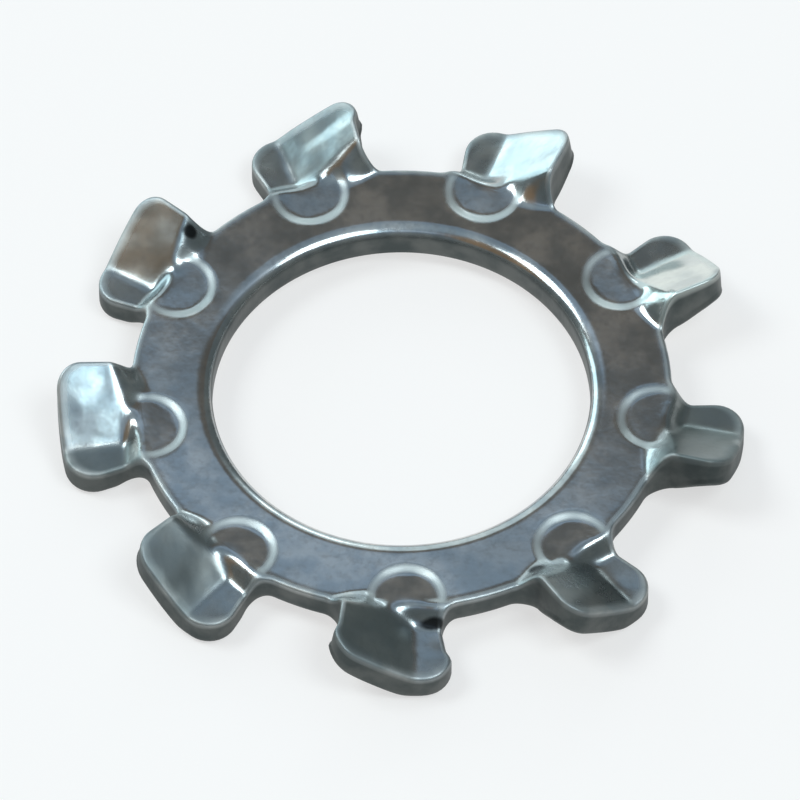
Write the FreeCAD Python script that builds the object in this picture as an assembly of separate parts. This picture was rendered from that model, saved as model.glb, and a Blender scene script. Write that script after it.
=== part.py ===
import FreeCAD, Part
import os
from math import asinh, atan2, cos, hypot, pi, radians, sinh, sqrt, tan
from FreeCAD import Vector

# Lock washer with twisted outside teeth, one stamping of spring steel
# Millimetres; origin on the bore axis at half the sheet's thickness; +Z up

# Driving sizes of the ring
bore_diameter = 10.5
ring_diameter = 15.0
sheet_thickness = 0.95
bore_burr = 0.06

# Rolled upper edge of the bore, its width a share of the ring's and its depth a share of that
bore_roll_share = 0.20
bore_roll_depth_share = 0.75

# Driving sizes of the teeth as seen from above
# Each tooth has a raised side and a sunk side, the sunk one anticlockwise of its radial line
tooth_count = 9
first_tooth_angle = 29.1
tip_diameter = 19.2
raised_width_root = 1.45
raised_width_tip = 1.68
sunk_width_root = 1.14
sunk_width_tip = 1.57
wall_lean = 18.5
upper_round = 0.07
lower_round = 0.20

# Round corners of the outline as shares of the tooth's length
raised_corner_share = 0.34
sunk_corner_share = 0.39
root_fillet_share = 0.29

# Driving sizes of the twist
crease_offset = 0.45
crease_drop = 0.50
crease_softness = 0.12
raised_slope = 34.7
sunk_slope = -1.0

# Length over which the sheet bends into the tooth, before and past the ring's rim
# The top face steps up at the rim, and the underside follows it slowly on the raised side
top_before_raised = 0.75
top_before_sunk = 0.25
top_past_raised = 0.40
top_past_sunk = 0.43
under_before = 0.50
bend_delay_in_gaps = 0.30
under_past_raised = 1.50
under_past_sunk = 0.70

# Driving sizes of the shallow dish pressed into the ring at each root
# Its radius and its distance from the rim are shares of the ring's width
dish_radius_share = 0.50
dish_inset_share = 0.155
dish_side = 0.25
dish_floor = 0.75
dish_depth = 0.10
dish_rise = 0.07

# Fineness of the bent surfaces, and angles that tell a cut wall from the sheet
knot_count = 14
edge_margin = 0.9
flattest_wall = 60
steepest_sheet = 50

# Places that follow from the driving sizes
bore_radius = bore_diameter / 2
ring_radius = ring_diameter / 2
tip_radius = tip_diameter / 2
half_sheet = sheet_thickness / 2
pitch = 360 / tooth_count
ring_width = ring_radius - bore_radius
roll_width = ring_width * bore_roll_share
roll_depth = roll_width * bore_roll_depth_share
tooth_length = tip_radius - ring_radius
raised_corner = tooth_length * raised_corner_share
sunk_corner = tooth_length * sunk_corner_share
root_fillet = tooth_length * root_fillet_share
dish_radius = ring_width * dish_radius_share
dish_out = ring_radius - ring_width * dish_inset_share
margin = sheet_thickness / 10
axis = Vector(0, 0, 1)
centre = Vector(0, 0, 0)


def ease(x):
    # smooth step from 0 to 1
    x = min(max(x, 0), 1)
    return x * x * (3 - 2 * x)


def tooth_height(side):
    # height of the creased section over the flat sheet
    high = tan(radians(raised_slope))
    low = tan(radians(sunk_slope))
    away = side - crease_offset
    bend = (high - low) / 2 * sqrt(away ** 2 + crease_softness ** 2)
    return bend - (high + low) / 2 * away - crease_drop


def square_to_slope(side):
    # upright thickness of the sloping sheet over its true thickness
    step = crease_softness / 10
    slope = (tooth_height(side + step) - tooth_height(side - step)) / (2 * step)
    return sqrt(1 + slope ** 2)


# Bent sheet round one tooth, wide enough to reach the middle of the gaps on both sides
patch_inner = dish_out - dish_radius - margin
patch_outer = tip_radius + margin
patch_half = ring_radius * tan(radians(pitch / 2))


def bend_share(out, side, before, past):
    # share of the tooth's height that the sheet has reached, none of it inside the rim at the gaps
    near = 1 - (side / patch_half) ** 2
    start = near * (before + bend_delay_in_gaps) - bend_delay_in_gaps
    return ease((out - ring_radius + start) / (near * before + past))


def sheet_heights(out, side):
    # top and underside of the sheet at a place given along and across the tooth
    sunk = ease((1 + side / raised_width_root) / 2)
    top_before = top_before_raised + (top_before_sunk - top_before_raised) * sunk
    top_past = top_past_raised + (top_past_sunk - top_past_raised) * sunk
    under_past = under_past_raised + (under_past_sunk - under_past_raised) * sunk
    bent = bend_share(out, side, top_before, top_past)
    followed = bend_share(out, side, under_before, under_past)
    away = hypot(out - dish_out, side - dish_side) / dish_radius
    dish = 1 - ease((away - dish_floor) / (1 - dish_floor))
    pressed = dish * (dish_depth - dish_rise * max(out - dish_out + dish_radius, 0))
    top = half_sheet + bent * tooth_height(side) - (1 - bent) * pressed
    thickness = sheet_thickness * (1 + followed * (square_to_slope(side) - 1))
    return top, half_sheet + followed * tooth_height(side) - thickness


def gathered(count, low, high, middle, gather):
    # places between two limits that crowd towards a middle
    a = asinh((low - middle) / gather)
    b = asinh((high - middle) / gather)
    return [middle + gather * sinh(a + (b - a) * k / (count - 1)) for k in range(count)]


def pole_places(knots):
    # places of the poles of a cubic surface that runs evenly over its knots
    full = knots[:1] * 3 + knots + knots[-1:] * 3
    return [sum(full[k + 1:k + 4]) / 3 for k in range(len(knots) + 2)]


def sheet_face(which):
    # one face of the bent sheet, a cubic surface with its poles at the sheet's heights
    outs = gathered(knot_count, patch_inner, patch_outer, ring_radius, tooth_length / 3)
    sides = gathered(knot_count + 4, -patch_half, patch_half, crease_offset, crease_softness * 5)
    poles = [[Vector(x, y, sheet_heights(x, y)[which]) for y in pole_places(sides)]
             for x in pole_places(outs)]
    marks = [[4] + [1] * (len(k) - 2) + [4] for k in (outs, sides)]
    surface = Part.BSplineSurface()
    surface.buildFromPolesMultsKnots(poles, marks[0], marks[1], outs, sides, False, False, 3, 3)
    return surface.toShape()


def limit_edge(face, along):
    # edge of a face that lies furthest along a direction
    return max(face.Edges, key=lambda e: e.CenterOfMass.dot(along))


upper = sheet_face(0)
lower = sheet_face(1)
limits = [Vector(1, 0, 0), Vector(-1, 0, 0), Vector(0, 1, 0), Vector(0, -1, 0)]
ends = [Part.makeRuledSurface(limit_edge(upper, v), limit_edge(lower, v)) for v in limits]
skin = Part.makeShell([upper, lower] + ends)
skin.sewShape()
bent_sheet = Part.makeSolid(Part.Shell(skin.Faces))


def quarter_oval(hub, long_end, short_end):
    # quarter of an oval between the ends of its two half axes
    return Part.ArcOfEllipse(Part.Ellipse(long_end, short_end, hub), 0, pi / 2)


# Flat ring over one pitch, its bore rolled over widely at the top edge and nearly sharp below
roll_hub = Vector(bore_radius + roll_width, 0, half_sheet - roll_depth)
roll_wall = roll_hub - Vector(roll_width, 0, 0)
roll_top = roll_hub + axis * roll_depth
burr_hub = Vector(bore_radius + bore_burr, 0, bore_burr - half_sheet)
burr_wall = burr_hub - Vector(bore_burr, 0, 0)
burr_low = burr_hub - axis * bore_burr
burr_middle = burr_hub - Vector(1, 0, 1).normalize() * bore_burr
rim_top = Vector(ring_radius, 0, half_sheet)
rim_low = Vector(ring_radius, 0, -half_sheet)
profile = Part.Face(Part.Wire([
    Part.makeLine(rim_low, rim_top),
    Part.makeLine(rim_top, roll_top),
    quarter_oval(roll_hub, roll_wall, roll_top).toShape(),
    Part.makeLine(roll_wall, burr_wall),
    Part.Arc(burr_wall, burr_middle, burr_low).toShape(),
    Part.makeLine(burr_low, rim_low),
]))
profile.rotate(centre, axis, -pitch / 2)
flat_ring = profile.revolve(centre, axis, pitch)
window = Part.makeBox(tip_radius, 2 * patch_half, tip_radius)
window.translate(Vector(patch_inner, -patch_half, -tip_radius / 2))
blank = flat_ring.cut(window).fuse(bent_sheet)


def tooth_side(sign, root, tip, corner, z):
    # straight side of a tooth and its round corner up to the tip, at one height
    along = Vector(tip_radius - ring_radius, tip - root, 0).normalize()
    across = Vector(-along.y, along.x, 0)
    inner = Vector(ring_radius, root, 0) - along * (root_fillet + sheet_thickness)
    base = inner - across * corner
    run = sqrt((tip_radius - corner) ** 2 - base.dot(across) ** 2) - base.dot(along)
    hub = base + along * run
    outward = Vector(hub).normalize()
    middle = (across + outward).normalize()
    flat = [inner, hub + across * corner, hub + middle * corner, hub + outward * corner]
    return [Vector(p.x, sign * p.y, z) for p in flat]


def tooth_outline(z):
    # outline of one tooth at a height, its raised side leaning with the slope
    lean = tan(radians(wall_lean)) * (half_sheet + tooth_height(-raised_width_tip) - z)
    a, b, c, d = tooth_side(-1, raised_width_root, raised_width_tip + lean, raised_corner, z)
    h, g, f, e = tooth_side(1, sunk_width_root, sunk_width_tip, sunk_corner, z)
    return Part.Wire([
        Part.makeLine(h, a),
        Part.makeLine(a, b),
        Part.Arc(b, c, d).toShape(),
        Part.Arc(d, Vector(tip_radius, 0, z), e).toShape(),
        Part.Arc(e, f, g).toShape(),
        Part.makeLine(g, h),
    ])


# Punched outline of one pitch of the washer, with fillets where the tooth leaves the ring
low_end = -half_sheet - crease_drop - 2 * margin
high_end = half_sheet + margin + tooth_height(-raised_width_tip)
disc = Part.makeCylinder(ring_radius, high_end - low_end, Vector(0, 0, low_end), axis, pitch)
disc.rotate(centre, axis, -pitch / 2)
outline = disc.fuse(Part.makeLoft([tooth_outline(low_end), tooth_outline(high_end)], True, True))
roots = []
for edge in outline.Edges:
    place = edge.CenterOfMass
    upright = edge.BoundBox.ZLength > (high_end - low_end) * edge_margin
    on_rim = abs(hypot(place.x, place.y) - ring_radius) < margin
    if upright and on_rim and abs(atan2(place.y, place.x)) < radians(pitch / 2) * edge_margin:
        roots.append(edge)
outline = outline.makeFillet(root_fillet, roots)
sector = blank.common(outline).Solids[0]


def rim_edges(shape, up):
    # edges where the cut wall round the outside meets the sheet's upper or lower face
    picked = []
    for edge in shape.Edges:
        place = edge.valueAt((edge.FirstParameter + edge.LastParameter) / 2)
        faces = shape.ancestorsOfType(edge, Part.Face)
        rises = [face.normalAt(*face.Surface.parameter(place)).z * up for face in faces]
        flat = [rise for rise in rises if rise > cos(radians(steepest_sheet))]
        wall = [rise for rise in rises if abs(rise) < cos(radians(flattest_wall))]
        outside = hypot(place.x, place.y) > ring_radius - root_fillet
        inside_pitch = abs(atan2(place.y, place.x)) < radians(pitch / 2) - margin / tip_radius
        if len(flat) == 1 and len(wall) == 1 and outside and inside_pitch:
            picked.append(edge)
    return picked


# Cut edges, crisp above and rounded over below as blanking leaves them
sector = sector.makeFillet(upper_round, rim_edges(sector, 1))
sector = sector.makeFillet(lower_round, rim_edges(sector, -1))

# Whole washer, one pitch repeated round the axis
pitches = []
for k in range(tooth_count):
    turned = sector.copy()
    turned.rotate(centre, axis, first_tooth_angle + k * pitch)
    pitches.append(turned)
washer = pitches[0].multiFuse(pitches[1:]).removeSplitter().Solids[0]

os.makedirs("parts", exist_ok=True)
washer.exportStep("parts/lock_washer.step")
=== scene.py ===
import math

import bpy
import numpy as np
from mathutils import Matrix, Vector


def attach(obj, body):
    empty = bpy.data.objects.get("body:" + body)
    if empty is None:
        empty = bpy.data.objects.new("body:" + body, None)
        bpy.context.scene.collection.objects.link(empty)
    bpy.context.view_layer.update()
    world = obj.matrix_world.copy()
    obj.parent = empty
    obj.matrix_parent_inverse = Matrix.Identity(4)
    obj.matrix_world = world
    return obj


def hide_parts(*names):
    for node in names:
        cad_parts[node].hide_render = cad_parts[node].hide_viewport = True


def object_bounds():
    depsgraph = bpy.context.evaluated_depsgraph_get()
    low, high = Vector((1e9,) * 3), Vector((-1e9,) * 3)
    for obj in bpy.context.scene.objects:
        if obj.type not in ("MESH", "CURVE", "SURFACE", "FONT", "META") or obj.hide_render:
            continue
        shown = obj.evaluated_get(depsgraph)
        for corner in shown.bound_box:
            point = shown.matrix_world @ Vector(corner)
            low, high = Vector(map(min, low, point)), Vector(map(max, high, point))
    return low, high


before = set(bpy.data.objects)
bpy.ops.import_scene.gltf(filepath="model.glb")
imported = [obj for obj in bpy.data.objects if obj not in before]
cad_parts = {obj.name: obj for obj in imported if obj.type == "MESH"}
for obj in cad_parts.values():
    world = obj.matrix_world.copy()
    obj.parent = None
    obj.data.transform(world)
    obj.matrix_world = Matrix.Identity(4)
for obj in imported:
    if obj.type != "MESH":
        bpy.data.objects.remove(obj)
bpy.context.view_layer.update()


# The washer: one flat ring with nine teeth, blanked and pierced from spring steel strip in a
# single stroke, then each tooth twisted about its own radial line by a forming tool. Its skin is
# one closed surface: a section across the sheet carried round the punched outline, in millimetres.
BORE, RING, TIP = 5.25, 7.5, 9.6
HALF_SHEET = 0.475
TEETH, FIRST_TOOTH = 9, 29.1
HALF_PITCH = math.radians(180 / TEETH)
LENGTH, RING_WIDTH = TIP - RING, RING - BORE

# Half widths of a tooth at the ring and at its tip, and the round corners of its outline
RAISED_ROOT, RAISED_TIP, SUNK_ROOT, SUNK_TIP = 1.45, 1.68, 1.14, 1.57
RAISED_CORNER, SUNK_CORNER, ROOT_FILLET = LENGTH * 0.34, LENGTH * 0.39, LENGTH * 0.29
WALL_LEAN = math.tan(math.radians(18.5))

# Edges: the bore's roll above and its burr below, then the roundings of the punched outline
ROLL, ROLL_DEPTH, BURR = 0.45, 0.3375, 0.06
UPPER_EDGE, LOWER_EDGE = 0.11, 0.26

# The twist: two slopes that meet at a crease, all let down below the ring. The crease of the
# underside is softer and lies where the sheet keeps its thickness
RAISED_ANGLE, SUNK_ANGLE = math.radians(34.7), math.radians(-1.0)
RAISED_SLOPE, SUNK_SLOPE = math.tan(RAISED_ANGLE), math.tan(SUNK_ANGLE)
CREASE, SOFT, DROP = 0.45, 0.10, 0.50
UNDER_CREASE = CREASE - 2 * HALF_SHEET * math.tan((RAISED_ANGLE - SUNK_ANGLE) / 2)
UNDER_SOFT = 0.20

# How far before and past the rim the sheet steps to the tooth, at the raised and the sunk side
TOP_BEFORE, TOP_PAST = (0.75, 0.25), (0.40, 0.43)
UNDER_BEFORE, UNDER_PAST = (0.50, 0.50), (1.50, 0.70)
GAP_DELAY, SHORTEST_STEP = 0.30, 0.05

# The shallow round dish before each tooth: its place, floor and border as shares of its radius,
# its depth, how its floor rises past the level part, and how it holds the tooth's step back
DISH_OUT, DISH_SIDE, DISH_RADIUS = RING - RING_WIDTH * 0.155, 0.25, RING_WIDTH * 0.5
DISH_FLOOR, DISH_BORDER = 0.72, 0.31
DISH_DEPTH, DISH_RISE, DISH_LEVEL = 0.085, 0.085, 0.35
HELD_SHARE, HELD_END, HELD_FADE = 0.9, RING + 0.20, 0.45


def ease(x):
    """Smooth step from 0 to 1: three x squared less two x cubed, held level outside."""
    x = np.clip(x, 0, 1)
    return x * x * (3 - 2 * x)


def section(side, crease, soft):
    """Height of the creased tooth over the flat sheet: two straight slopes joined by a hyperbola,
    half their difference times the root of the distance squared plus the softness squared."""
    away = side - crease
    bend = (RAISED_SLOPE - SUNK_SLOPE) / 2 * np.sqrt(away ** 2 + soft ** 2)
    return bend - (RAISED_SLOPE + SUNK_SLOPE) / 2 * away - DROP


def bend_share(out, side, before, past):
    """Share of the tooth's height that the sheet has reached: a smooth step that starts before the
    rim at the tooth and later towards the gaps, by the square of the distance to the side."""
    near = 1 - (side / (RING * math.tan(HALF_PITCH))) ** 2
    start = RING - near * (before + GAP_DELAY) + GAP_DELAY
    return ease((out - start) / np.maximum(near * before + past, SHORTEST_STEP))


def dish_share(out, side):
    """Share of the dish's depth: 1 on its floor, smoothly down to 0 at its border circle."""
    away = np.hypot(out - DISH_OUT, side - DISH_SIDE) / DISH_RADIUS
    return 1 - ease((away - DISH_FLOOR) / DISH_BORDER)


def sheet(out, side):
    """Upper and lower height of the sheet: the section times the share of it that is reached, and
    above that less the dish, whose floor rises outwards."""
    sunk = ease((1 + side / RAISED_ROOT) / 2)

    def reached(before, past):
        """Bend share with both reaches mixed from the raised to the sunk side."""
        return bend_share(out, side, *(a + (b - a) * sunk for a, b in (before, past)))

    dish = dish_share(out, side)
    bent = reached(TOP_BEFORE, TOP_PAST)
    bent = bent * (1 - HELD_SHARE * dish * ease((HELD_END - out) / HELD_FADE))
    rise = DISH_RISE * np.maximum(out - DISH_OUT + DISH_RADIUS - DISH_LEVEL, 0)
    top = HALF_SHEET + bent * section(side, CREASE, SOFT) - (1 - bent) * dish * (DISH_DEPTH - rise)
    under = reached(UNDER_BEFORE, UNDER_PAST) * section(side, UNDER_CREASE, UNDER_SOFT)
    return top, under - HALF_SHEET


# Points along each stretch of half the outline, from the tooth's middle to the middle of a gap
TIP_STEPS, CORNER_STEPS, FLANK_STEPS, FILLET_STEPS, RIM_STEPS = 9, 10, 12, 12, 7


def arc(hub, size, first, last, count):
    """Points on a circle from one direction to another, the short way round, by equal angles."""
    a, b = (math.atan2(v[1], v[0]) for v in (first, last))
    b = a + (b - a + math.pi) % (2 * math.pi) - math.pi
    turn = a + (b - a) * np.linspace(0, 1, count, endpoint=False)
    return np.c_[hub[0] + size * np.cos(turn), hub[1] + size * np.sin(turn)]


def tooth_flank(root, tip, corner):
    """Hubs of a flank's root fillet and round corner. Each lies its own radius off the straight
    side, the first a radius outside the rim's circle and the other a radius inside the tip's."""
    along = np.array([LENGTH, tip - root]) / math.hypot(LENGTH, tip - root)
    across = np.array([-along[1], along[0]])
    start = np.array([RING, root])
    hubs = []
    for off_side, reach in ((start + across * ROOT_FILLET, RING + ROOT_FILLET),
                            (start - across * corner, TIP - corner)):
        further = math.sqrt(reach ** 2 - (off_side @ across) ** 2) - off_side @ along
        hubs.append(off_side + along * further)
    return *hubs, across


def outline(z):
    """One pitch of the punched outline at a height: rim, fillet, flank, corner, tip and back. The
    leaning wall widens the raised side in proportion to the depth below its corner."""
    lean = WALL_LEAN * (HALF_SHEET + section(-RAISED_TIP, CREASE, SOFT) - z)
    mirror = np.array([1, -1])
    halves = []
    for root, tip, corner in (
        (RAISED_ROOT, RAISED_TIP + lean, RAISED_CORNER),
        (SUNK_ROOT, SUNK_TIP, SUNK_CORNER),
    ):
        low, high, across = tooth_flank(root, tip, corner)
        low_out, high_out = low / np.linalg.norm(low), high / np.linalg.norm(high)
        rim_end = np.array([math.cos(HALF_PITCH), math.sin(HALF_PITCH)])
        flank = np.linspace(0, 1, FLANK_STEPS, endpoint=False)[:, None]
        a, b = high + across * corner, low - across * ROOT_FILLET
        halves.append(np.vstack([
            arc((0, 0), TIP, (1, 0), high_out, TIP_STEPS),
            arc(high, corner, high_out, across, CORNER_STEPS),
            a + (b - a) * flank,
            arc(low, ROOT_FILLET, -across, -low_out, FILLET_STEPS),
            arc((0, 0), RING, low_out, rim_end, RIM_STEPS),
            rim_end[None] * RING,
        ]))
    raised_half, sunk_half = halves
    return np.vstack([(raised_half * mirror)[::-1][:-1], sunk_half[:-1]])


LOW_Z, HIGH_Z = -1.2, 1.6
low_line, high_line = outline(LOW_Z), outline(HIGH_Z)


def outline_at(z):
    """The outline's points, each at its own height, on straight lines from the low one's to the
    high one's."""
    share = ((z - LOW_Z) / (HIGH_Z - LOW_Z))[:, None]
    return low_line + (high_line - low_line) * share


def inward(line):
    """Unit vectors into the metal: the run from each point's neighbour to the next, turned a
    quarter, where the neighbours past the ends are those of the next pitch."""
    pitch = 2 * HALF_PITCH
    turned = np.array([[math.cos(pitch), -math.sin(pitch)], [math.sin(pitch), math.cos(pitch)]])
    run = np.vstack([line[1:], line[0] @ turned.T]) - np.vstack([line[-1] @ turned, line[:-1]])
    return np.c_[-run[:, 1], run[:, 0]] / np.linalg.norm(run, axis=1)[:, None]


# Where the leaning wall meets the two faces: both heights settle within four rounds
wall_top = np.full(len(low_line), HALF_SHEET)
wall_low = -wall_top
for _ in range(4):
    wall_top = sheet(*outline_at(wall_top).T)[0]
    wall_low = sheet(*outline_at(wall_low).T)[1]
top_line, under_line = outline_at(wall_top), outline_at(wall_low)
into, under_into = inward(top_line), inward(under_line)

# The columns stand round the bore as their ends do along the outline, but those of the tooth are
# drawn together there, so that they run up its flanks from inside and none crosses another
DRAWN_TOGETHER, DRAWN_FROM, DRAWN_BLEND = 0.87, RING + 0.1, 0.5
steps = np.linalg.norm(np.diff(top_line, axis=0), axis=1)
on_tooth = ease((np.hypot(*top_line.T) - DRAWN_FROM) / DRAWN_BLEND)
steps = steps * (1 - DRAWN_TOGETHER * (on_tooth[1:] + on_tooth[:-1]) / 2)
share = np.r_[0, np.cumsum(steps)] / (steps.sum() + steps[-1])
bore_angle = HALF_PITCH * (2 * share - 1)
bore_way = np.c_[np.cos(bore_angle), np.sin(bore_angle)]

# The section across the sheet, row by row: up the bore, over the top, down the cut edge and back.
# Each row knows how far it is broken metal, darkened partly by painted shade, how far its edge is
# worn and how far it is pressed
BURR_ROWS, BORE_ROWS, ROLL_ROWS, TOP_ROWS = 4, 5, 12, 48
UPPER_ROWS, WALL_ROWS, LOWER_ROWS, UNDER_ROWS = 6, 10, 9, 18
QUARTER = math.pi / 2
# Shares of the dark broken colour up the bore, on the roll, the upper rounding, the wall and the
# lower rounding: partly the duller broken metal, partly painted shade on the walls and painted
# shade that dims the roll's and the edges' highlights
BORE_BREAK_SHADE, ROLL_SHADE_END, UPPER_EDGE_SHADE, WALL_BREAK_SHADE, LOWER_BREAK_SHADE = 0.5, 0.7, 0.17, (0.15, 0.85), 0.9
WORN_BAND, BORDER_SHARPNESS = 1 / 18, 0.7
rows, marks = [], []


def add_row(points, heights, cut_and_shade, worn=0.0, pressed=0.0):
    """One row of the skin: plan points, heights, and how far each is cut and darkened with painted
    shade, worn and pressed.
    """
    rows.append(np.c_[points, np.broadcast_to(heights, len(points))])
    marks.append([np.broadcast_to(value, len(points)) for value in (cut_and_shade, worn, pressed)])


for turn in np.linspace(QUARTER, 0, BURR_ROWS):
    height = BURR * (1 - math.sin(turn)) - HALF_SHEET
    add_row(bore_way * (BORE + BURR * (1 - math.cos(turn))), height, 1)
for t in np.linspace(1, 0, BORE_ROWS)[1:-1]:
    height = (BURR - HALF_SHEET) * t + (HALF_SHEET - ROLL_DEPTH) * (1 - t)
    add_row(bore_way * BORE, height, BORE_BREAK_SHADE + (1 - BORE_BREAK_SHADE) * t)
for turn in np.linspace(0, QUARTER, ROLL_ROWS):
    height = HALF_SHEET - ROLL_DEPTH * (1 - math.sin(turn))
    broken_and_shaded = BORE_BREAK_SHADE * max(0, 1 - turn / ROLL_SHADE_END)
    add_row(bore_way * (BORE + ROLL * (1 - math.cos(turn))), height, broken_and_shaded)
a, b = bore_way * (BORE + ROLL), top_line + into * UPPER_EDGE
for t in np.linspace(0, 1, TOP_ROWS)[1:-1]:
    points = a + (b - a) * t
    dish = dish_share(*points.T)
    border = (4 * dish * (1 - dish)) ** BORDER_SHARPNESS
    add_row(points, sheet(*points.T)[0], 0, max(0, 1 - (1 - t) / WORN_BAND), border)
for turn in np.linspace(0, QUARTER, UPPER_ROWS):
    points = top_line + into * UPPER_EDGE * (1 - math.sin(turn))
    height = sheet(*points.T)[0] - UPPER_EDGE * (1 - math.cos(turn))
    add_row(points, height, UPPER_EDGE_SHADE * turn / QUARTER, 1)
high, low = wall_top - UPPER_EDGE, wall_low + LOWER_EDGE
for t in np.linspace(0, 1, WALL_ROWS)[1:-1]:
    height = high + (low - high) * t
    add_row(outline_at(height), height, WALL_BREAK_SHADE[0] + (WALL_BREAK_SHADE[1] - WALL_BREAK_SHADE[0]) * t)
for turn in np.linspace(0, QUARTER, LOWER_ROWS):
    points = under_line + under_into * LOWER_EDGE * (1 - math.cos(turn))
    height = sheet(*points.T)[1] + LOWER_EDGE * (1 - math.sin(turn))
    add_row(points, height, LOWER_BREAK_SHADE * math.cos(turn))
a, b = under_line + under_into * LOWER_EDGE, bore_way * (BORE + BURR)
for t in np.linspace(0, 1, UNDER_ROWS)[1:-1]:
    points = a + (b - a) * t
    add_row(points, sheet(*points.T)[1], 0)

# No two teeth leave the press alike. Each keeps its own length, as a share of the full one, and at
# the tips of two the forming tool has spread the metal on the raised or on both sides
LENGTHS = [1.0, 1.0, 0.99, 0.90, 0.975, 0.975, 1.0, 1.0, 0.985]
RAISED_SPREAD = [0, 0, 0.13, 0, 0, 0, 0.08, 0, 0]
SUNK_SPREAD = [0, 0, 0, 0, 0, 0, 0.14, 0, 0]
SPREAD_START, SPREAD_FADE = 8.55, 0.35
turns = np.radians(FIRST_TOOTH + np.arange(TEETH) * 360 / TEETH)
x, y, z = np.moveaxis(np.stack(rows), -1, 0)
near_tip = ease((x - SPREAD_START) / SPREAD_FADE)
pitches = []
for t, length, raised, sunk in zip(turns, LENGTHS, RAISED_SPREAD, SUNK_SPREAD):
    out = x + (length - 1) * np.maximum(x - RING, 0)
    side = y + near_tip * (sunk * np.clip(y, 0, 1) + raised * np.clip(y, -1, 0))
    turned_x, turned_y = (out * math.cos(t) - side * math.sin(t),
                          out * math.sin(t) + side * math.cos(t))
    pitches.append(np.stack([turned_x, turned_y, z], -1))
skin = np.concatenate(pitches, axis=1)

# Each point of the grid is joined to the next in its row and to the next row, both closed round
index = np.arange(skin[..., 0].size).reshape(skin.shape[:2])
right, above = np.roll(index, -1, 1), np.roll(index, -1, 0)
faces = np.stack([index, above, np.roll(above, -1, 1), right], -1).reshape(-1, 4)
mesh = bpy.data.meshes.new("lock_washer_skin")
mesh.from_pydata((skin.reshape(-1, 3) / 1000).tolist(), [], faces.tolist())
mesh.polygons.foreach_set("use_smooth", np.ones(len(faces), bool))
mesh.update()

# The teeth carry painted reflections: most are darkened by a painted dark reflection, on the raised
# or on the sunk side, and the raised side of one is lightened by a painted bright reflection
RAISED_DARK_REFLECTION = [0.0, 0.12, 0.3, 0.35, 0.20, 0.6, 0.6, 0.5, 0.85]
SUNK_DARK_REFLECTION = [0.45, 0.5, 0.4, 0.3, 0.7, 0.4, 0.2, 0.3, 0.7]
RAISED_BRIGHT_REFLECTION = [0.55, 0.0, 0.0, 0.0, 0.0, 0.0, 0.0, 0.0, 0.0]
TOOTH_FROM, TOOTH_BLEND, CREASE_BLEND = RING - 0.3, 0.6, 0.1
raised_dark_reflection, sunk_dark_reflection, raised_bright_reflection = (
    np.repeat(values, x.shape[1]) for values in (RAISED_DARK_REFLECTION, SUNK_DARK_REFLECTION, RAISED_BRIGHT_REFLECTION))
tooth = ease((np.hypot(skin[..., 0], skin[..., 1]) - TOOTH_FROM) / TOOTH_BLEND)
raised = np.tile(ease((CREASE + CREASE_BLEND - y) / (2 * CREASE_BLEND)), TEETH)
cut_and_shade, worn, border = (np.tile(values, TEETH) for values in np.swapaxes(marks, 0, 1))
# The cut edge mark carries broken metal and painted shade; the two tooth marks are a painted dark
# and a painted bright reflection
for name, values in {
    "cut_edge_and_shade": cut_and_shade,
    "worn_edge": worn,
    "pressed": border * (1 - tooth),
    "tooth": tooth,
    "dark_reflection": tooth * (raised * raised_dark_reflection + (1 - raised) * sunk_dark_reflection),
    "bright_reflection": tooth * raised * raised_bright_reflection,
}.items():
    layer = mesh.attributes.new(name, "FLOAT", "POINT")
    layer.data.foreach_set("value", values.astype(np.float32).ravel())


def add_piece(name, data):
    """An object that carries a mesh, a lamp or a camera, put into the scene."""
    piece = bpy.data.objects.new(name, data)
    bpy.context.scene.collection.objects.link(piece)
    return piece


washer = add_piece("lock_washer_skin", mesh)


class Finish:
    """An output socket of a shader; arithmetic on it adds Math nodes, and node() any other node."""

    def __init__(self, tree, out=None):
        self.tree = tree
        self.out = out

    @classmethod
    def bare(cls, owner):
        """The emptied node tree of a material or a world, ready for its first nodes."""
        owner.use_nodes = True
        owner.node_tree.nodes.clear()
        return cls(owner.node_tree)

    def node(self, kind, settings, sockets, output=0):
        made = self.tree.nodes.new(kind)
        for name, value in settings.items():
            if name == "stops":
                ramp = made.color_ramp
                for stop, (place, colour) in enumerate(value):
                    mark = ramp.elements[stop] if stop < 2 else ramp.elements.new(place)
                    mark.position, mark.color = place, colour
            else:
                setattr(made, name, value)
        for name, value in sockets.items():
            if isinstance(value, Finish):
                self.tree.links.new(value.out, made.inputs[name])
            else:
                made.inputs[name].default_value = value
        return Finish(self.tree, made.outputs[output] if made.outputs else None)

    def math(self, operation, first, second):
        return self.node("ShaderNodeMath", {"operation": operation}, {0: first, 1: second})

    def __add__(self, other):
        return self.math("ADD", self, other)

    def __radd__(self, other):
        return self.math("ADD", other, self)

    def __mul__(self, other):
        return self.math("MULTIPLY", self, other)

    def __rmul__(self, other):
        return self.math("MULTIPLY", other, self)

    def vector(self, operation, second, output=0):
        """Vector Math on the socket and a second vector; output Value gives a plain number."""
        sockets = {0: self} if second is None else {0: self, 1: second}
        return self.node("ShaderNodeVectorMath", {"operation": operation}, sockets, output)

    def between(self, low, high):
        """Smooth step of the socket from 0 at low to 1 at high, held level outside."""
        smooth = {"interpolation_type": "SMOOTHSTEP"}
        return self.node("ShaderNodeMapRange", smooth, {0: self, 1: low, 2: high})

    def tinted(self, first, second):
        """Colour mixed from the first to the second by the socket's value."""
        sockets = {0: self, 6: first, 7: second}
        return self.node("ShaderNodeMix", {"data_type": "RGBA"}, sockets, 2)

    def noise(self, scale, detail):
        """Cloudy values at the socket's place, scale cells to the metre."""
        sockets = {"Vector": self, "Scale": scale, "Detail": detail}
        return self.node("ShaderNodeTexNoise", {}, sockets)
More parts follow.
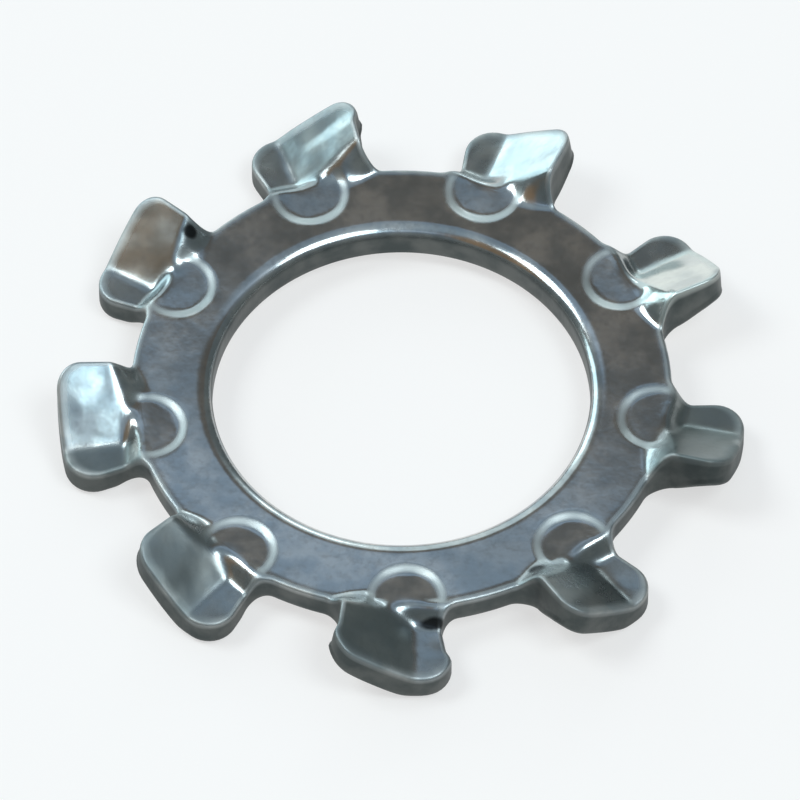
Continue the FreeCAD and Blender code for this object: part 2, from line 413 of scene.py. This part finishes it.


# Bright zinc, plated after the press: a bluish film with dust and faint stains, frosted where the
# dish's border was pressed, rubbed on worn edges and dark where the metal broke. Painted dark and
# bright reflections lie on the teeth, painted shade darkens the broken colour further on the walls,
# the roll and the edges, and three painted shade spots sit at the roots
BLUE_FILM, GREY_FILM, DUST = (0.46, 0.50, 0.52, 1), (0.68, 0.68, 0.66, 1), (0.36, 0.35, 0.33, 1)
STAIN, DARK_REFLECTION_TINT, BRIGHT_REFLECTION_TINT = (0.34, 0.37, 0.38, 1), (0.17, 0.20, 0.195, 1), (0.84, 0.91, 0.85, 1)
FROST, RUB = (0.60, 0.64, 0.63, 1), (0.52, 0.53, 0.52, 1)
DARK_BREAK_SHADE, PALE_BREAK_SHADE = (0.065, 0.078, 0.078, 1), (0.13, 0.14, 0.135, 1)
ROOT_SHADE = (0.012, 0.013, 0.014, 1)
RELIEF_HEIGHT, TEAR_STRETCH = 0.000012, (1.0, 1.0, 0.12)
zinc = bpy.data.materials.new("bright_zinc_plate")
plate = Finish.bare(zinc)
place = plate.node("ShaderNodeTexCoord", {}, {}, "Object")
cut_and_shade, worn, pressed, tooth, dark_reflection, bright_reflection = (
    plate.node("ShaderNodeAttribute", {"attribute_name": name}, {}, "Fac")
    for name in ("cut_edge_and_shade", "worn_edge", "pressed", "tooth", "dark_reflection", "bright_reflection"))
cloud = place.noise(420.0, 3.0)
wave = place.noise(800.0, 0.6)
mottle = place.noise(1100.0, 3.0)
grain = place.noise(5200.0, 3.0)
tears = place.vector("MULTIPLY", TEAR_STRETCH).noise(6500.0, 2.0)
# Broken metal, darkened also by painted shade on the walls, the bore's roll and the edge roundings
broken_and_shaded = cut_and_shade.between(0.05, 0.30)
film = mottle.between(0.35, 0.65).tinted(BLUE_FILM, GREY_FILM)
dusty = (grain.between(0.45, 0.75) * 0.35).tinted(film, DUST)
stained = (cloud.between(0.45, 0.62) * 0.5).tinted(dusty, STAIN)
# Painted dark reflection on the raised or the sunk side of most teeth
dark_reflected = (dark_reflection * (0.7 + mottle * 0.6)).tinted(stained, DARK_REFLECTION_TINT)
# Painted bright reflection on the raised side of one tooth
bright_reflected = (bright_reflection * (0.3 + mottle * 1.4)).tinted(dark_reflected, BRIGHT_REFLECTION_TINT)
frosted = (pressed * (0.45 + mottle * 0.6)).tinted(bright_reflected, FROST)
rubbed = (worn * mottle.between(0.45, 0.75)).tinted(frosted, RUB)
shaded_break = mottle.between(0.3, 0.7).tinted(DARK_BREAK_SHADE, PALE_BREAK_SHADE)
# Painted shade: a dark spot in the corner of the bend at three roots
root_shade = 0
for spot, spread in (
    ((-0.00592, 0.00495, 0.00096), (0.00026, 0.00020, 0.00040)),
    ((0.00373, -0.00632, 0.00050), (0.00036, 0.00026, 0.00050)),
    ((0.00086, -0.00780, 0.00010), (0.00052, 0.00020, 0.00040)),
):
    apart = place.vector("SUBTRACT", spot).vector("DIVIDE", spread).vector("LENGTH", None, "Value")
    root_shade = (apart + mottle * 0.8).between(1.35, 0.85) * 0.9 + root_shade
colour = root_shade.tinted(broken_and_shaded.tinted(rubbed, shaded_break), ROOT_SHADE)
rough = (0.10 + mottle * 0.08 + grain * 0.06
         + broken_and_shaded * 0.26 + pressed * 0.28 + worn * 0.24 + dark_reflection * 0.22)
relief = (cloud * 0.5 + mottle * 0.6 + wave * tooth * 7.0
          + grain * 0.08 + tears * (0.02 + broken_and_shaded * 0.6))
bump = plate.node("ShaderNodeBump", {}, {
    "Strength": 1.0, "Distance": RELIEF_HEIGHT, "Height": relief})
surface = plate.node("ShaderNodeBsdfPrincipled", {}, {
    "Base Color": colour, "Metallic": 1.0, "Roughness": rough, "Normal": bump})
plate.node("ShaderNodeOutputMaterial", {}, {"Surface": surface})
mesh.materials.append(zinc)

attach(washer, "root")
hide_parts("lock_washer")


# The table it lies on: a plain pale sheet far wider than the picture, that keeps the soft shadow.
# Seen straight or in a reflection it glows a little, which makes the white ground.
TABLE_COLOUR, TABLE_GLOW = (0.96, 0.91, 0.88, 1), 0.6
table_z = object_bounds()[0].z
table_mesh = bpy.data.meshes.new("floor")
table_mesh.from_pydata(
    [(-1, -1, table_z), (1, -1, table_z), (1, 1, table_z), (-1, 1, table_z)], [], [(0, 1, 2, 3)])
table = add_piece("floor", table_mesh)
paper = bpy.data.materials.new("pale_paper")
pale = Finish.bare(paper)
camera_ray, glossy_ray, transmission_ray = (
    pale.node("ShaderNodeLightPath", {}, {}, name)
    for name in ("Is Camera Ray", "Is Glossy Ray", "Is Transmission Ray"))
seen = camera_ray + glossy_ray + transmission_ray
matt = pale.node("ShaderNodeBsdfDiffuse", {}, {"Color": TABLE_COLOUR})
glow = pale.node("ShaderNodeEmission", {}, {"Color": (1, 1, 1, 1), "Strength": 1.0})
blend = pale.node("ShaderNodeMixShader", {}, {0: seen * TABLE_GLOW, 1: matt, 2: glow})
pale.node("ShaderNodeOutputMaterial", {}, {"Surface": blend})
table_mesh.materials.append(paper)


# A brown card that hangs over the far side of the table. Only the metal's reflections see it, and
# its slanting near edge parts the ring's dark half from its pale half.
CARD_Z, CARD_NEAR, CARD_FAR, CARD_HALF, CARD_SLANT = 0.050, 0.0341, 0.055, 0.05, 0.405
CARD_COLOUR = (0.155, 0.140, 0.122, 1)
card_mesh = bpy.data.meshes.new("reflection_card")
card_mesh.from_pydata([
    (-CARD_HALF, CARD_NEAR + CARD_SLANT * CARD_HALF, CARD_Z),
    (CARD_HALF, CARD_NEAR - CARD_SLANT * CARD_HALF, CARD_Z),
    (CARD_HALF, CARD_FAR, CARD_Z),
    (-CARD_HALF, CARD_FAR, CARD_Z),
], [], [(0, 1, 2, 3)])
card = add_piece("reflection_card", card_mesh)
card.visible_camera = card.visible_diffuse = card.visible_shadow = False
board = bpy.data.materials.new("brown_board")
flat = Finish.bare(board)
brown = flat.node("ShaderNodeEmission", {}, {"Color": CARD_COLOUR, "Strength": 1.0})
flat.node("ShaderNodeOutputMaterial", {}, {"Surface": brown})
card_mesh.materials.append(board)


# Studio light: a dim room, bluish overhead, with a pale strip of wall on the far side and a warm
# one on the near left. Two soft panels hang high at the sides, a wide window stands low on the far
# left, and a small panel in front and a strip at the back light single teeth.
def direction(turn, rise):
    """Unit vector to an azimuth and an elevation in degrees: cosines across, the sine upwards."""
    turn, rise = math.radians(turn), math.radians(rise)
    level = math.cos(rise)
    return Vector((math.cos(turn) * level, math.sin(turn) * level, math.sin(rise)))


world = bpy.data.worlds.new("studio_room")
room = Finish.bare(world)
way = room.node("ShaderNodeTexCoord", {}, {}, "Generated")
height = room.node("ShaderNodeSeparateXYZ", {}, {0: way}, "Z")
walls = room.node("ShaderNodeValToRGB", {"stops": [
    (0.00, (0.150, 0.175, 0.175, 1)),
    (1.00, (0.340, 0.420, 0.480, 1)),
    (0.55, (0.165, 0.190, 0.195, 1)),
    (0.75, (0.180, 0.225, 0.270, 1)),
    (0.80, (0.360, 0.460, 0.570, 1)),
    (0.84, (0.440, 0.560, 0.690, 1)),
    (0.90, (0.250, 0.320, 0.390, 1)),
]}, {0: height})


def patch(turn, rise, low, high):
    """Nearness of a direction to an azimuth and an elevation: a smooth step of the cosine between
    them, 0 up to low and 1 from high."""
    return way.vector("DOT_PRODUCT", direction(turn, rise), "Value").between(low, high)


far_wall = patch(100, 16, 0.80, 0.93).tinted(walls, (0.80, 0.95, 1.0, 1))
sky = patch(212, 48, 0.90, 0.97).tinted(far_wall, (0.27, 0.19, 0.12, 1))
back = room.node("ShaderNodeBackground", {}, {"Color": sky, "Strength": 1.0})
room.node("ShaderNodeOutputWorld", {}, {"Surface": back})
bpy.context.scene.world = world

PANEL_DISTANCE = 0.5
for name, turn, rise, wide, tall, radiance, colour in (
    ("left_panel", 171, 55, 0.20, 0.20, 7.5, (0.86, 0.97, 1.0)),
    ("right_panel", -35, 62, 0.20, 0.20, 6.5, (0.86, 0.97, 1.0)),
    ("window", 140, 14, 0.36, 0.23, 2.1, (0.68, 0.93, 1.0)),
    ("near_panel", -66, 57, 0.08, 0.08, 3.2, (0.64, 0.90, 1.0)),
    ("far_strip", 78, 24, 0.12, 0.05, 3.0, (0.85, 0.97, 1.0)),
):
    lamp = bpy.data.lights.new(name, "AREA")
    lamp.shape = "RECTANGLE"
    lamp.size, lamp.size_y = wide, tall
    lamp.energy = radiance * math.pi * wide * tall
    lamp.color = colour
    panel = add_piece(name, lamp)
    panel.location = direction(turn, rise) * PANEL_DISTANCE
    panel.rotation_euler = (-direction(turn, rise)).to_track_quat("-Z", "Y").to_euler()


# The camera: a long lens at the photograph's angle, so that the ring keeps its even ellipse. It
# aims beside the bore's axis, which lies a few pixels off the middle of the picture.
VIEW_RISE = math.radians(54.15)
DISTANCE, SENSOR, PICTURE = 0.3333, 36, 800
PIXELS_PER_METRE = 36030.0
AXIS_RIGHT, AXIS_UP = 1.4, 4.9
toward = Vector((0, -math.cos(VIEW_RISE), math.sin(VIEW_RISE)))
upward = Vector((0, math.sin(VIEW_RISE), math.cos(VIEW_RISE)))
aim = Vector((-AXIS_RIGHT / PIXELS_PER_METRE, 0, 0)) - upward * (AXIS_UP / PIXELS_PER_METRE)
camera = add_piece("camera", bpy.data.cameras.new("camera"))
camera.data.sensor_width = SENSOR
camera.data.lens = SENSOR * DISTANCE / (PICTURE / PIXELS_PER_METRE)
camera.location = aim + toward * DISTANCE
camera.rotation_euler = (-toward).to_track_quat("-Z", "Y").to_euler()
bpy.context.scene.camera = camera
bpy.context.scene.view_settings.view_transform = "Standard"
